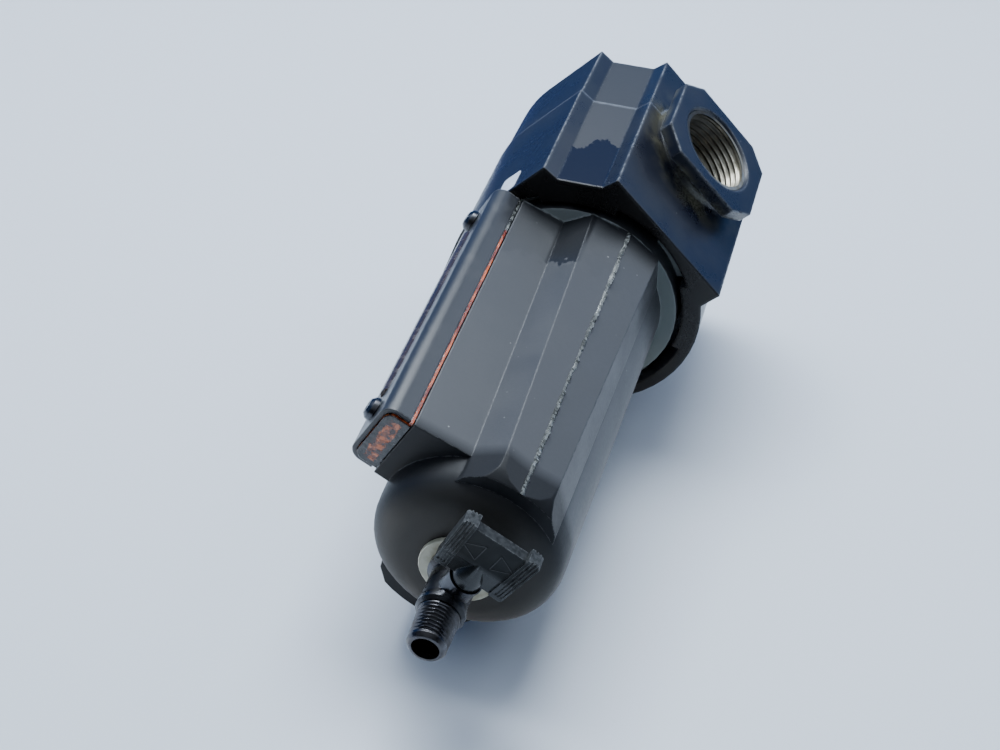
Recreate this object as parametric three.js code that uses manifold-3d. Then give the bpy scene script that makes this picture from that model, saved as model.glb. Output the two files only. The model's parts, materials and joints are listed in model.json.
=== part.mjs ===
// Compressed air filter with a metal bowl, a side level gauge and a quarter-turn drain valve.
// Millimetres, +Z up. All heights below are measured from the port axis (X), which crosses the
// bowl axis (Z). The last lines lower the whole object, so that its origin is the middle of the
// head's flat top. The front is -Y. The bowl group has its own X and Y, turned about Z.

import * as THREE from 'three';
import { mergeVertices } from 'three/addons/utils/BufferGeometryUtils.js';
import Module from 'manifold-3d';

const wasm = await Module();
wasm.setup();

// ---------------------------------------------------------------- driving dimensions

const GAP = 0.3; // between pieces that touch
const EPS = 1; // how far a cutting tool runs past the face it cuts

const HEAD = {
  half: 46.5, // axis to port faces
  ridge: 28.1, // half width of a port face
  channelIn: 6.3, // how far a corner channel is set in
  channelOut: 0.8,
  round: 46, // radius of the round front
  rear: 47.3, // radius of the round back, which starts where two short wings end
  top: 35.5,
  bend: 3.3, // above this height the walls step in, then lean in
  bottom: -51.4,
  step: 0.988, // outline scale just above the bend
  lean: 0.975, // outline scale at the top
};
const FLANGE = {
  face: 56.5, thick: 5, halfY: 22.9, halfZ: 22.3, corner: 8.2, neck: 19.5, fillet: 2.5,
};
const PORT = { bore: 16.4, mouth: 17.3, chamfer: 1, depth: 24 };
const CHAMBER = { radius: 36, roof: -20, step: -25, wall: 18, passage: 12, wallEnd: -36 };
const LOCK = { lips: 4, lip: 40.5, groove: 43.2, lipTop: -45.4, grooveTop: -37.4, slotHalf: 26 };
const SEAL_BORE = 39.2;
const BOWL_RING = { radius: 37.6, thick: 1.3, lift: 1.7 }; // lies on the bowl's shoulder

const BOWL = {
  turn: -15.4, // degrees from the head's front to the bowl's own front
  neck: 36,
  band: 38.6,
  mouth: 33,
  top: -27,
  shoulder: -36,
  bandEnd: -52.5,
  radiusTop: 33,
  radiusEnd: 30.6,
  wall: 3.2,
  domeStart: -176,
  domeEnd: -190.6,
  domeFlat: 13,
  domeFullness: 0.7, // 1 would be a plain ellipse
  hole: 6.7,
};
BOWL.floor = BOWL.domeEnd + BOWL.wall + 0.3; // the inside of the dome
const LUG = { radius: 42.6, top: -38, bottom: -45, half: 12, past: 13 }; // past the slot's middle

const GAUGE = {
  centre: 11.2, // off the bowl axis, along the bowl's X
  half: 13.1,
  face: -35.8, // the boss face that the lens rests on
  top: -53,
  bottom: -175.5,
  lensDepth: 8.1,
  corner: 4.5,
  coverThick: 1.5,
  coverStart: 1.4, // strip of lens left bare beside the boss
  screwIn: 9.3, // screws from the ends of the cover
};
GAUGE.outer = GAUGE.face - GAP - GAUGE.lensDepth - GAP - GAUGE.coverThick;
const SCREW = { shank: 2, head: 4, headHeight: 2.6, depth: 4 };

const DRAIN = {
  washer: 12.5,
  washerThick: 2,
  shank: 6.3,
  flange: 8.8,
  body: 7.2,
  cavity: 5.7,
  bore: 3.2,
  stemZ: -203.6,
  shoulder: 7.7,
  shoulderZ: -208,
  bodyEnd: -211,
  thread: 6.58,
  tip: 5.5,
  nippleBore: 4.3,
  end: -224.4,
  ball: 5,
};
const SEAT = { inner: 3.9, outer: 5.3, thick: 2, off: 3.7 }; // off the ball's middle
const NUT = { across: 10.5, thick: 4 };
const STEM = { radius: 2.5, start: 5.3, bossRadius: 5.4, bossEnd: 11.5, end: 17.6 };
const STEM_RING = { inner: 2.8, outer: 3.9, start: 8.6, end: 9.8, groove: 4.2, grooveLength: 3.4 };
const WING = { start: 13.2, end: 34.3, half: 11.8, flare: 1.3, thick: 3.4, hub: 4.7, hubEnd: 21 };
const RIB = { thick: 5, width: 4.4, groove: 0.6, depth: 0.45, pitch: 1.05, count: 3 };

// The filter element and its tie rod, listed from the head downwards.
const STACK = { rod: 3, rodTop: 20, rodEnd: -156, cap: 22, element: 21.4, elementInner: 13, nut: 7.5 };
const GASKET = { inner: 13, outer: 17.5 };
const DEFLECTOR = { plate: 24, plateLift: 1.5, vanes: 12, inner: 22, outer: 28.5, thick: 1.4, pitch: 35 };
const PLEATS = { count: 28, depth: 1.6 };
const BAFFLE = { hub: 12, rim: 24, thick: 1.8 };
const LEVEL = {
  gasket: [-38.3, -36.3],
  deflector: [-42.6, -38.6],
  capTop: [-47.4, -42.9],
  element: [-131, -47.7],
  capBottom: [-135.8, -131.3],
  baffle: [-146, -136.1],
  nut: [-153, -146.3],
};

// ---------------------------------------------------------------- solids

// A closed three.js geometry as a manifold solid, with merged corners and no empty triangles.
function solid(geometry) {
  const bare = geometry.index ? geometry.toNonIndexed() : geometry.clone();
  bare.deleteAttribute('normal');
  bare.deleteAttribute('uv');
  const merged = mergeVertices(bare, 1e-4);
  const index = merged.index.array;
  const triangles = [];
  for (let i = 0; i < index.length; i += 3) {
    const [a, b, c] = [index[i], index[i + 1], index[i + 2]];
    if (a !== b && b !== c && c !== a) triangles.push(a, b, c);
  }
  return new wasm.Manifold(new wasm.Mesh({
    numProp: 3,
    vertProperties: new Float32Array(merged.attributes.position.array),
    triVerts: new Uint32Array(triangles),
  }));
}

function toGeometry(manifold) {
  const mesh = manifold.getMesh();
  const geometry = new THREE.BufferGeometry();
  geometry.setAttribute('position', new THREE.BufferAttribute(mesh.vertProperties, 3));
  geometry.setIndex(new THREE.BufferAttribute(mesh.triVerts, 1));
  geometry.computeVertexNormals();
  return geometry;
}

const join = (...parts) => parts.reduce((whole, part) => whole.add(part));
const cut = (base, ...tools) => tools.reduce((rest, tool) => rest.subtract(tool), base);

// A solid of revolution about Z. The profile is [radius, z] pairs, anticlockwise.
function turned(profile, segments = 32) {
  const points = profile.map(([r, z]) => new THREE.Vector2(r, z));
  return solid(new THREE.LatheGeometry(points, segments).rotateX(Math.PI / 2));
}

function tube(inner, outer, low, high, segments = 32) {
  return turned([[inner, low], [outer, low], [outer, high], [inner, high], [inner, low]], segments);
}

function rod(radius, low, high, segments = 24) {
  return turned([[0, low], [radius, low], [radius, high], [0, high]], segments);
}

// The same solids along X or Y instead of Z.
const alongX = (part) => part.rotate([0, 90, 0]);
const alongY = (part) => part.rotate([-90, 0, 0]);

function block([x0, x1], [y0, y1], [z0, z1]) {
  const box = new THREE.BoxGeometry(x1 - x0, y1 - y0, z1 - z0);
  return solid(box.translate((x0 + x1) / 2, (y0 + y1) / 2, (z0 + z1) / 2));
}

// An outline pulled up from low to high; its far end can be scaled in x and y.
function pulled(shape, low, high, scaleX = 1, scaleY = scaleX) {
  const geometry = new THREE.ExtrudeGeometry(shape, {
    depth: high - low,
    bevelEnabled: false,
    curveSegments: 5,
  });
  const position = geometry.attributes.position;
  const middle = (high - low) / 2;
  for (let i = 0; i < position.count; i += 1) {
    if (position.getZ(i) > middle) {
      position.setX(i, position.getX(i) * scaleX);
      position.setY(i, position.getY(i) * scaleY);
    }
  }
  return solid(geometry.translate(0, 0, low));
}

// A solid between a lower and an upper outline with the same number of corners, anticlockwise.
function lofted(lower, upper, low, high) {
  const count = lower.length;
  const positions = [
    ...lower.flatMap(([x, y]) => [x, y, low]),
    ...upper.flatMap(([x, y]) => [x, y, high]),
  ];
  const cap = THREE.ShapeUtils.triangulateShape(lower.map(([x, y]) => new THREE.Vector2(x, y)), []);
  const index = [];
  for (const [a, b, c] of cap) index.push(a, c, b, a + count, b + count, c + count);
  for (let i = 0; i < count; i += 1) {
    const next = (i + 1) % count;
    index.push(i, next, next + count, i, next + count, i + count);
  }
  const geometry = new THREE.BufferGeometry();
  geometry.setAttribute('position', new THREE.Float32BufferAttribute(positions, 3));
  geometry.setIndex(index);
  return solid(geometry);
}

const outline = (points) => new THREE.Shape(points.map(([x, y]) => new THREE.Vector2(x, y)));

function roundedRectangle(halfX, halfY, radius) {
  const shape = new THREE.Shape();
  const quarter = Math.PI / 2;
  [[1, 1], [-1, 1], [-1, -1], [1, -1]].forEach(([sx, sy], i) => {
    shape.absarc(sx * (halfX - radius), sy * (halfY - radius), radius, i * quarter, (i + 1) * quarter);
  });
  return shape;
}

// A pie slice of a ring about Z, centred on an angle in degrees.
function sector(inner, outer, low, high, centre, half) {
  const shape = new THREE.Shape();
  const [start, end] = [centre - half, centre + half].map(THREE.MathUtils.degToRad);
  shape.absarc(0, 0, outer, start, end, false);
  shape.absarc(0, 0, inner, end, start, true);
  return pulled(shape, low, high);
}

// ---------------------------------------------------------------- head

// Points on an arc about the origin, between two angles in radians.
function arc(radius, start, end, steps) {
  const points = [];
  for (let i = 0; i <= steps; i += 1) {
    const angle = THREE.MathUtils.lerp(start, end, i / steps);
    points.push([radius * Math.cos(angle), radius * Math.sin(angle)]);
  }
  return points;
}

// The head seen from above: between the two port faces lie, in front, a 45 degree corner channel
// between two ridges and a flat that runs into the round part, and at the back a round part
// between two short wings.
function headOutline(scale) {
  const { half, ridge, channelIn, channelOut, round, rear } = HEAD;
  const reach = Math.acos(round / Math.hypot(half, ridge));
  const front = Math.atan2(-half, ridge) - reach;
  const back = Math.atan2(-ridge, -half) + reach;
  const wing = Math.asin(ridge / rear);
  const points = [
    [half, -ridge],
    [half - channelIn, -ridge - channelOut],
    [ridge + channelOut, channelIn - half],
    [ridge, -half],
    ...arc(round, front, back, 5),
    [-half, -ridge],
    [-half, ridge],
    ...arc(rear, Math.PI - wing, wing, 16),
    [half, ridge],
  ];
  return outline(points.map(([x, y]) => [x * scale, y * scale]));
}

// A port flange on +X: an eight-sided plate standing on a round neck.
function flange() {
  const { face, thick, halfY, halfZ, corner, neck, fillet } = FLANGE;
  const plate = outline([
    [-halfZ + corner, -halfY], [halfZ - corner, -halfY], [halfZ, -halfY + corner],
    [halfZ, halfY - corner], [halfZ - corner, halfY], [-halfZ + corner, halfY],
    [-halfZ, halfY - corner], [-halfZ, -halfY + corner],
  ]);
  const foot = HEAD.half - 4; // inside the head
  const neckProfile = [
    [0, foot], [neck + fillet, foot], [neck + fillet, HEAD.half],
    [neck + fillet * 0.3, HEAD.half + fillet * 0.3], [neck, HEAD.half + fillet],
    [neck, face - EPS], [0, face - EPS],
  ];
  return join(alongX(pulled(plate, face - thick, face)), alongX(turned(neckProfile)));
}

function portBore() {
  const { bore, mouth, chamfer, depth } = PORT;
  const face = FLANGE.face;
  return alongX(turned([
    [0, face - depth], [bore, face - depth], [bore, face - chamfer], [mouth, face],
    [mouth, face + EPS], [0, face + EPS],
  ]));
}

// What is cut out of the head from below for the bowl: the lips of its lock, the groove above
// them, the bore its ring seals in and the chamber round the element.
function bowlSeat() {
  const low = HEAD.bottom - EPS;
  const slots = [];
  for (let i = 0; i < LOCK.lips; i += 1) {
    const centre = i * 360 / LOCK.lips;
    slots.push(sector(LOCK.lip - EPS, LOCK.groove, low, LOCK.lipTop + EPS, centre, LOCK.slotHalf));
  }
  return join(
    rod(LOCK.lip, low, LOCK.lipTop, 48),
    rod(LOCK.groove, LOCK.lipTop, LOCK.grooveTop, 48),
    rod(SEAL_BORE, LOCK.grooveTop - EPS, CHAMBER.step, 48),
    rod(CHAMBER.radius, CHAMBER.step - EPS, CHAMBER.roof, 48),
    ...slots,
  );
}

// Air comes in on -X and drops into the chamber, round the central wall.
function inletPassage() {
  const { roof, wall, passage } = CHAMBER;
  const drop = block(
    [PORT.depth - FLANGE.face - 8, -wall - 2],
    [-passage, passage],
    [roof - EPS, passage / 2],
  );
  return join(portBore().rotate([0, 0, 180]), drop);
}

// Air rises inside the central wall and leaves on +X. The tie rod screws into the same wall.
function outletPassage() {
  const { passage, wallEnd } = CHAMBER;
  return join(
    portBore(),
    alongX(rod(passage, 0, FLANGE.face - PORT.depth + EPS)),
    rod(passage, wallEnd - EPS, 0),
    rod(STACK.rod + GAP, 0, STACK.rodTop + GAP),
  );
}

function headCasting() {
  const { bottom, bend, top, step, lean } = HEAD;
  const body = join(
    pulled(headOutline(1), bottom, bend),
    pulled(headOutline(step), bend - 0.01, top, lean / step),
    flange(),
    flange().rotate([0, 0, 180]),
  );
  const { passage, wall, wallEnd, roof } = CHAMBER;
  const centralWall = tube(passage, wall, wallEnd, roof + EPS);
  return cut(join(cut(body, bowlSeat()), centralWall), inletPassage(), outletPassage());
}

// ---------------------------------------------------------------- filter element

// A ring of pitched vanes round a plate sets the incoming air spinning.
function swirlDeflector() {
  const [low, high] = LEVEL.deflector;
  const { plate, plateLift, vanes, inner, outer, thick, pitch } = DEFLECTOR;
  const half = (high - low) / 2;
  const vane = block([inner, outer], [-thick / 2, thick / 2], [-half, half])
    .rotate([pitch, 0, 0])
    .translate([0, 0, low + half]);
  const parts = [tube(STACK.rod + GAP, plate, low + plateLift, high)];
  for (let i = 0; i < vanes; i += 1) {
    parts.push(vane.rotate([0, 0, i * 360 / vanes]));
  }
  return join(...parts);
}

// The element's wall is pleated on the outside.
function filterElement() {
  const [low, high] = LEVEL.element;
  const points = [];
  for (let i = 0; i < PLEATS.count * 2; i += 1) {
    const angle = i * Math.PI / PLEATS.count;
    const radius = STACK.element - (i % 2) * PLEATS.depth;
    points.push([radius * Math.cos(angle), radius * Math.sin(angle)]);
  }
  return cut(pulled(outline(points), low, high), rod(STACK.elementInner, low - EPS, high + EPS));
}

const elementCap = ([low, high]) => tube(STACK.rod + GAP, STACK.cap, low, high);

// A shallow cone under the element that keeps the settled water still.
function baffle() {
  const [low, high] = LEVEL.baffle;
  const { hub, rim, thick } = BAFFLE;
  const hole = STACK.rod + GAP;
  const under = high - thick * 1.5;
  return turned([
    [hole, under], [hub, under], [rim, low], [rim, low + thick],
    [hub + 1, high], [hole, high], [hole, under],
  ]);
}

// ---------------------------------------------------------------- bowl

// Rounded bottom corner between two radii, as [radius, z] pairs from the side to the floor.
function domeCorner(radius, start, flat, end, steps = 8) {
  const fullness = BOWL.domeFullness;
  const points = [];
  for (let i = 0; i <= steps; i += 1) {
    const angle = i / steps * Math.PI / 2;
    const [across, down] = [Math.cos(angle) ** fullness, Math.sin(angle) ** fullness];
    points.push([flat + (radius - flat) * across, start + (end - start) * down]);
  }
  return points;
}

// Side pad on +X: three ridges, the middle one on the casting's parting line. It narrows downwards.
const PAD = {
  upper: { valley: [26.5, 20.1], ridge: [36.5, 13.9], middle: 38.6, root: [19, 23] },
  lower: { valley: [26.5, 16.4], ridge: [34.7, 9.1], middle: 33.6, root: [19, 19] },
  endAbove: 6, // above the bottom of the dome
  corner: 36, // radius where the rounded lower end starts
  cornerStart: -175,
};

function padSection({ valley, ridge, middle, root }) {
  const side = [root, valley, ridge];
  return [...side.map(([x, y]) => [x, -y]), [middle, 0], ...side.reverse()];
}

function sidePad() {
  return lofted(padSection(PAD.lower), padSection(PAD.upper), BOWL.domeEnd + PAD.endAbove, BOWL.bandEnd);
}

// The boss behind the gauge. Its right side runs into the valley of the side pad.
function gaugeBoss() {
  const [left, right] = [GAUGE.centre - GAUGE.half, GAUGE.centre + GAUGE.half];
  const section = ([x, y]) => [[left, -15], [left, GAUGE.face], [right, GAUGE.face], [x, -y], [x, -10]];
  return lofted(section(PAD.lower.valley), section(PAD.upper.valley), GAUGE.bottom, BOWL.bandEnd);
}

function bowlOutside() {
  const { neck, band, top, shoulder, bandEnd, radiusTop, radiusEnd } = BOWL;
  const { domeStart, domeEnd, domeFlat } = BOWL;
  return turned([
    [0, domeEnd],
    ...domeCorner(radiusEnd, domeStart, domeFlat, domeEnd).reverse(),
    [radiusTop, bandEnd], [band, bandEnd], [band, shoulder], [neck, shoulder], [neck, top], [0, top],
  ], 48);
}

function bowlInside() {
  const { mouth, top, bandEnd, radiusTop, radiusEnd, wall, domeStart, domeFlat, floor } = BOWL;
  const mouthStart = bandEnd + 6;
  return turned([
    [0, floor],
    ...domeCorner(radiusEnd - wall, domeStart + wall, domeFlat, floor).reverse(),
    [radiusTop - wall, bandEnd], [mouth, mouthStart], [mouth, top + EPS], [0, top + EPS],
  ], 48);
}

// Both side pads. A larger dome rounds their lower ends off.
function sidePads() {
  const { domeEnd, domeFlat, top } = BOWL;
  const wide = 60; // clear of the pads
  const envelope = turned([
    [0, domeEnd],
    ...domeCorner(PAD.corner, PAD.cornerStart, domeFlat, domeEnd).reverse(),
    [PAD.corner + 2, -150], [wide, -140], [wide, top], [0, top],
  ], 48);
  return join(sidePad(), sidePad().rotate([0, 0, 180])).intersect(envelope);
}

// The lugs that turn in under the lips of the head.
function lugs() {
  const { radius, bottom, top, half, past } = LUG;
  const parts = [];
  for (let i = 0; i < LOCK.lips; i += 1) {
    const centre = i * 360 / LOCK.lips + past - BOWL.turn;
    parts.push(sector(BOWL.band - EPS, radius, bottom, top, centre, half));
  }
  return join(...parts);
}

function bowlBody() {
  const { hole, domeEnd, floor } = BOWL;
  const whole = join(bowlOutside(), sidePads(), gaugeBoss(), lugs());
  return cut(whole, bowlInside(), rod(hole, domeEnd - EPS, floor + EPS));
}

const screwLevels = [GAUGE.top - GAUGE.screwIn, GAUGE.bottom + GAUGE.screwIn];

// Something made about the Y axis at the origin, copied to both gauge screws.
const atScrews = (part) => join(...screwLevels.map((z) => part.translate([GAUGE.centre, 0, z])));

// The seal lies in a groove in the boss face; two drillings join the gauge to the bowl.
const seal = { half: 8.6, width: 2, depth: 1.3, top: screwLevels[0] - 6, bottom: screwLevels[1] + 6 };

function sealRing(grow, depth) {
  const { half, width, top, bottom } = seal;
  const long = (top - bottom) / 2;
  const ring = (extra, radius) => pulled(roundedRectangle(half + extra, long + extra, radius), 0, depth);
  const middle = ring(-width - grow, half - width - grow).scale([1, 1, 3]).translate([0, 0, -depth]);
  const frame = ring(grow, half).subtract(middle);
  return frame.rotate([90, 0, 0]).translate([GAUGE.centre, GAUGE.face + depth, (top + bottom) / 2]);
}

function bowlShell() {
  const drillings = [seal.top - 8, seal.bottom + 8].map(
    (z) => alongY(rod(1.5, GAUGE.face - EPS, -20, 16)).translate([GAUGE.centre, 0, z]),
  );
  const screwHole = alongY(rod(SCREW.shank + GAP, GAUGE.face - EPS, GAUGE.face + SCREW.depth + GAP, 16));
  return cut(
    bowlBody(),
    atScrews(screwHole),
    sealRing(GAP, seal.depth + GAP),
    ...drillings,
  );
}

// ---------------------------------------------------------------- level gauge

// A long bar beside the boss: a rectangle in X and Y whose two outer corners are rounded.
function gaugeBar(half, start, end, radius, [low, high]) {
  const shape = new THREE.Shape();
  const [left, right] = [GAUGE.centre - half, GAUGE.centre + half];
  shape.moveTo(right, start);
  shape.lineTo(left, start);
  shape.absarc(left + radius, end + radius, radius, Math.PI, Math.PI * 1.5);
  shape.absarc(right - radius, end + radius, radius, Math.PI * 1.5, Math.PI * 2);
  return pulled(shape, low, high);
}

// The lens has a raised rib that looks out through the cover's window.
const sightWindow = { half: 3.4, top: screwLevels[0] - 8, bottom: screwLevels[1] + 8, rib: 3 };

function gaugeLens() {
  const start = GAUGE.face - GAP;
  const end = start - GAUGE.lensDepth;
  const half = GAUGE.half - GAUGE.coverThick - GAP;
  const corner = GAUGE.corner - GAUGE.coverThick;
  const bar = gaugeBar(half, start, end, corner, [GAUGE.bottom, GAUGE.top]);
  const { half: ribHalf, rib: height, bottom, top } = sightWindow;
  const rib = halfRound(ribHalf - GAP, height, [bottom + GAP, top - GAP], end);
  const channel = 5.5; // half width of the oil channel behind the rib
  const sight = block(
    [GAUGE.centre - channel, GAUGE.centre + channel],
    [end + 4, start + EPS],
    [seal.bottom + 4, seal.top - 4],
  );
  const hole = alongY(rod(SCREW.shank + GAP, end - EPS, start + EPS, 16));
  return cut(bar.add(rib), sight, atScrews(hole));
}

// A half-round rib along Z that stands out from a face toward -Y.
function halfRound(half, height, [low, high], face) {
  const shape = new THREE.Shape();
  shape.absellipse(GAUGE.centre, face, half, height, Math.PI, Math.PI * 2);
  shape.lineTo(GAUGE.centre + half, face + EPS);
  shape.lineTo(GAUGE.centre - half, face + EPS);
  return pulled(shape, low, high);
}

function gaugeCover() {
  const { face, coverThick, coverStart, corner, outer, half } = GAUGE;
  const start = face - coverStart;
  const span = [GAUGE.bottom + 1, GAUGE.top - 0.5];
  const past = [span[0] - EPS, span[1] + EPS];
  const shell = gaugeBar(half, start, outer, corner, span);
  const hollow = gaugeBar(half - coverThick, start + EPS, outer + coverThick, corner - coverThick, past);
  const opening = block(
    [GAUGE.centre - sightWindow.half, GAUGE.centre + sightWindow.half],
    [outer - EPS, outer + coverThick + EPS],
    [sightWindow.bottom, sightWindow.top],
  );
  const hole = alongY(rod(SCREW.shank + GAP, outer - EPS, outer + coverThick + EPS, 16));
  return cut(shell, hollow, opening, atScrews(hole));
}

// A pan-head screw along Y with a cross recess in its head.
function gaugeScrew(level) {
  const seat = GAUGE.outer - GAP;
  const tip = GAUGE.face + SCREW.depth;
  const { head, headHeight, shank } = SCREW;
  const profile = [
    [0, seat - headHeight], [head * 0.6, seat - headHeight], [head * 0.92, seat - headHeight * 0.6],
    [head, seat], [shank, seat], [shank, tip], [0, tip],
  ];
  const arm = (x, z) => block([-x, x], [seat - headHeight - EPS, seat - 1], [-z, z]);
  const screw = alongY(turned(profile, 24)).subtract(join(arm(2, 0.4), arm(0.4, 2)));
  return screw.translate([GAUGE.centre, 0, level]);
}

// ---------------------------------------------------------------- drain valve

const washerTop = BOWL.domeEnd - GAP;
const flangeTop = washerTop - DRAIN.washerThick - GAP;
const upperSeat = DRAIN.stemZ + SEAT.off;
const lowerSeat = DRAIN.stemZ - SEAT.off - SEAT.thick;
const nutTop = BOWL.floor + GAP + NUT.thick;

function drainBody() {
  const { shank, flange: rim, body, cavity, bore, stemZ, shoulder, shoulderZ, bodyEnd } = DRAIN;
  const outside = turned([
    [0, bodyEnd], [shoulder - 1, bodyEnd], [shoulder, bodyEnd + 1], [shoulder, shoulderZ],
    [body, shoulderZ + 1], [body, flangeTop - 3], [rim, flangeTop - 2], [rim, flangeTop],
    [shank, flangeTop], [shank, nutTop + 1], [0, nutTop + 1],
  ], 40);
  const boss = alongX(rod(STEM.bossRadius, 2, STEM.bossEnd, 28)).translate([0, 0, stemZ]);
  const flow = join(
    rod(cavity, bodyEnd - EPS, upperSeat + SEAT.thick + GAP, 32),
    rod(bore, upperSeat, nutTop + 1 + EPS, 24),
  );
  const stemHole = join(
    alongX(rod(STEM.radius + GAP, 0, STEM.bossEnd + EPS, 20)),
    alongX(rod(STEM_RING.groove, STEM.bossEnd - STEM_RING.grooveLength, STEM.bossEnd + EPS, 20)),
  ).translate([0, 0, stemZ]);
  return cut(join(outside, boss), flow, stemHole);
}

// The nipple screws into the body from below and keeps the ball and its seats in place.
function drainNipple() {
  const { cavity, thread, tip, nippleBore, bodyEnd, end } = DRAIN;
  const top = lowerSeat - GAP;
  return turned([
    [nippleBore, end], [tip, end], [thread, end + 2], [thread, bodyEnd - GAP],
    [cavity - GAP, bodyEnd - GAP], [cavity - GAP, top], [nippleBore, top], [nippleBore, end],
  ], 32);
}

function hexNut(inner, across, low, high) {
  const corners = [];
  for (let i = 0; i < 6; i += 1) {
    const angle = i * Math.PI / 3;
    corners.push([across * Math.cos(angle), across * Math.sin(angle)]);
  }
  return cut(pulled(outline(corners), low, high), rod(inner, low - EPS, high + EPS));
}

// The bore of the ball lies across the pipe while the valve is shut.
function drainBall() {
  const ball = solid(new THREE.SphereGeometry(DRAIN.ball, 24, 14));
  return ball.subtract(alongY(rod(DRAIN.bore, -2 * DRAIN.ball, 2 * DRAIN.ball, 20)))
    .translate([0, 0, DRAIN.stemZ]);
}

// A rib that stands above and below the wing's edge, with grooves along its outer side. Its
// outer edge lies on X.
function handleRib() {
  const { thick, width, groove, depth, pitch, count } = RIB;
  const length = WING.end - WING.start;
  const bar = pulled(outline([
    [0, -width], [length, -width], [length, -1], [length - 1, 0], [0.8, 0], [0, -0.8],
  ]), -thick / 2, thick / 2);
  const grooves = [];
  for (let i = 0; i < count; i += 1) {
    const y = -0.9 - i * pitch;
    for (const face of [-thick / 2, thick / 2]) {
      const across = [y - groove / 2, y + groove / 2];
      grooves.push(block([1.5, length + EPS], across, [face - depth, face + depth]));
    }
  }
  return cut(bar, ...grooves);
}

// A flat wing in the plane of the stem, wider at its outer end, with a rib along each side.
function drainHandle() {
  const { start, end, half, flare, thick, hub, hubEnd } = WING;
  const wingEnd = end - 1.4;
  const wing = pulled(outline([
    [start, -half + 2], [wingEnd, -half], [wingEnd, half], [start, half - 2],
  ]), -thick / 2, thick / 2);
  const hubStart = STEM.bossEnd + GAP;
  const hubRod = alongX(turned([
    [0, hubStart], [hub, hubStart], [hub, hubEnd - 6], [thick / 2, hubEnd], [0, hubEnd],
  ], 24));
  const socket = alongX(rod(STEM.radius + GAP, STEM.bossEnd - EPS, STEM.end + GAP, 20));
  const slope = THREE.MathUtils.radToDeg(Math.atan2(flare, end - start));
  const rib = handleRib().rotate([0, 0, slope]).translate([start, half, 0]);
  return cut(join(wing, rib, rib.mirror([0, 1, 0]), hubRod), socket).translate([0, 0, DRAIN.stemZ]);
}

const torus = (radius, thickness) => solid(new THREE.TorusGeometry(radius, thickness, 8, 36));

// ---------------------------------------------------------------- assembly

const finishes = {
  blackPaint: { color: 0x23252a, roughness: 0.38, metalness: 0.1 },
  bowlPaint: { color: 0x2e3032, roughness: 0.5, metalness: 0.15 },
  blackSheet: { color: 0x1d2024, roughness: 0.3, metalness: 0.4 },
  clearPlastic: { color: 0xb87a48, roughness: 0.15, metalness: 0, transparent: true, opacity: 0.6 },
  darkSteel: { color: 0x3a3c3f, roughness: 0.25, metalness: 0.9 },
  brightSteel: { color: 0xb4b6b8, roughness: 0.3, metalness: 0.9 },
  nylon: { color: 0xd9d3bf, roughness: 0.6, metalness: 0 },
  charcoalPlastic: { color: 0x3c3e40, roughness: 0.6, metalness: 0 },
  greyPlastic: { color: 0x8d9092, roughness: 0.6, metalness: 0 },
  rubber: { color: 0x151515, roughness: 0.85, metalness: 0 },
  medium: { color: 0xe6e2d6, roughness: 0.95, metalness: 0 },
};

function piece(name, finish, part) {
  const mesh = new THREE.Mesh(toGeometry(part), new THREE.MeshStandardMaterial(finishes[finish]));
  mesh.name = name;
  return mesh;
}

const group = new THREE.Group();
const element = new THREE.Group();
const bowl = new THREE.Group();
bowl.rotation.z = THREE.MathUtils.degToRad(BOWL.turn);
group.add(element, bowl);

const atStem = (part) => part.translate([0, 0, DRAIN.stemZ]);
const bowlRing = torus(BOWL_RING.radius, BOWL_RING.thick)
  .translate([0, 0, BOWL.shoulder + BOWL_RING.lift]);
const washer = tube(DRAIN.shank + GAP, DRAIN.washer, washerTop - DRAIN.washerThick, washerTop);
const locknut = hexNut(DRAIN.shank + GAP, NUT.across, BOWL.floor + GAP, nutTop);
const seatRing = (low) => tube(SEAT.inner, SEAT.outer, low, low + SEAT.thick, 32);
const stem = alongX(rod(STEM.radius, STEM.start, STEM.end, 20));
const stemRing = alongX(tube(STEM_RING.inner, STEM_RING.outer, STEM_RING.start, STEM_RING.end, 24));

group.add(
  piece('head_casting', 'blackPaint', headCasting()),
  piece('bowl_o_ring', 'rubber', bowlRing),
);

element.add(
  piece('element_stud', 'brightSteel', rod(STACK.rod, STACK.rodEnd, STACK.rodTop, 20)),
  piece('deflector_gasket', 'rubber', tube(GASKET.inner, GASKET.outer, ...LEVEL.gasket)),
  piece('swirl_deflector', 'greyPlastic', swirlDeflector()),
  piece('element_cap_top', 'greyPlastic', elementCap(LEVEL.capTop)),
  piece('filter_element', 'medium', filterElement()),
  piece('element_cap_bottom', 'greyPlastic', elementCap(LEVEL.capBottom)),
  piece('baffle', 'greyPlastic', baffle()),
  piece('baffle_nut', 'greyPlastic', hexNut(STACK.rod + GAP, STACK.nut, ...LEVEL.nut)),
);

bowl.add(
  piece('bowl_shell', 'bowlPaint', bowlShell()),
  piece('gauge_seal', 'rubber', sealRing(0, seal.depth)),
  piece('gauge_lens', 'clearPlastic', gaugeLens()),
  piece('gauge_cover', 'blackSheet', gaugeCover()),
  piece('gauge_screw_upper', 'darkSteel', gaugeScrew(screwLevels[0])),
  piece('gauge_screw_lower', 'darkSteel', gaugeScrew(screwLevels[1])),
  piece('drain_washer', 'nylon', washer),
  piece('drain_body', 'darkSteel', drainBody()),
  piece('drain_locknut', 'brightSteel', locknut),
  piece('ball_seat_upper', 'nylon', seatRing(upperSeat)),
  piece('ball_seat_lower', 'nylon', seatRing(lowerSeat)),
  piece('drain_nipple', 'darkSteel', drainNipple()),
  piece('drain_ball', 'brightSteel', drainBall()),
  piece('drain_stem', 'brightSteel', atStem(stem)),
  piece('stem_o_ring', 'rubber', atStem(stemRing)),
  piece('drain_handle', 'charcoalPlastic', drainHandle()),
);

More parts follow.
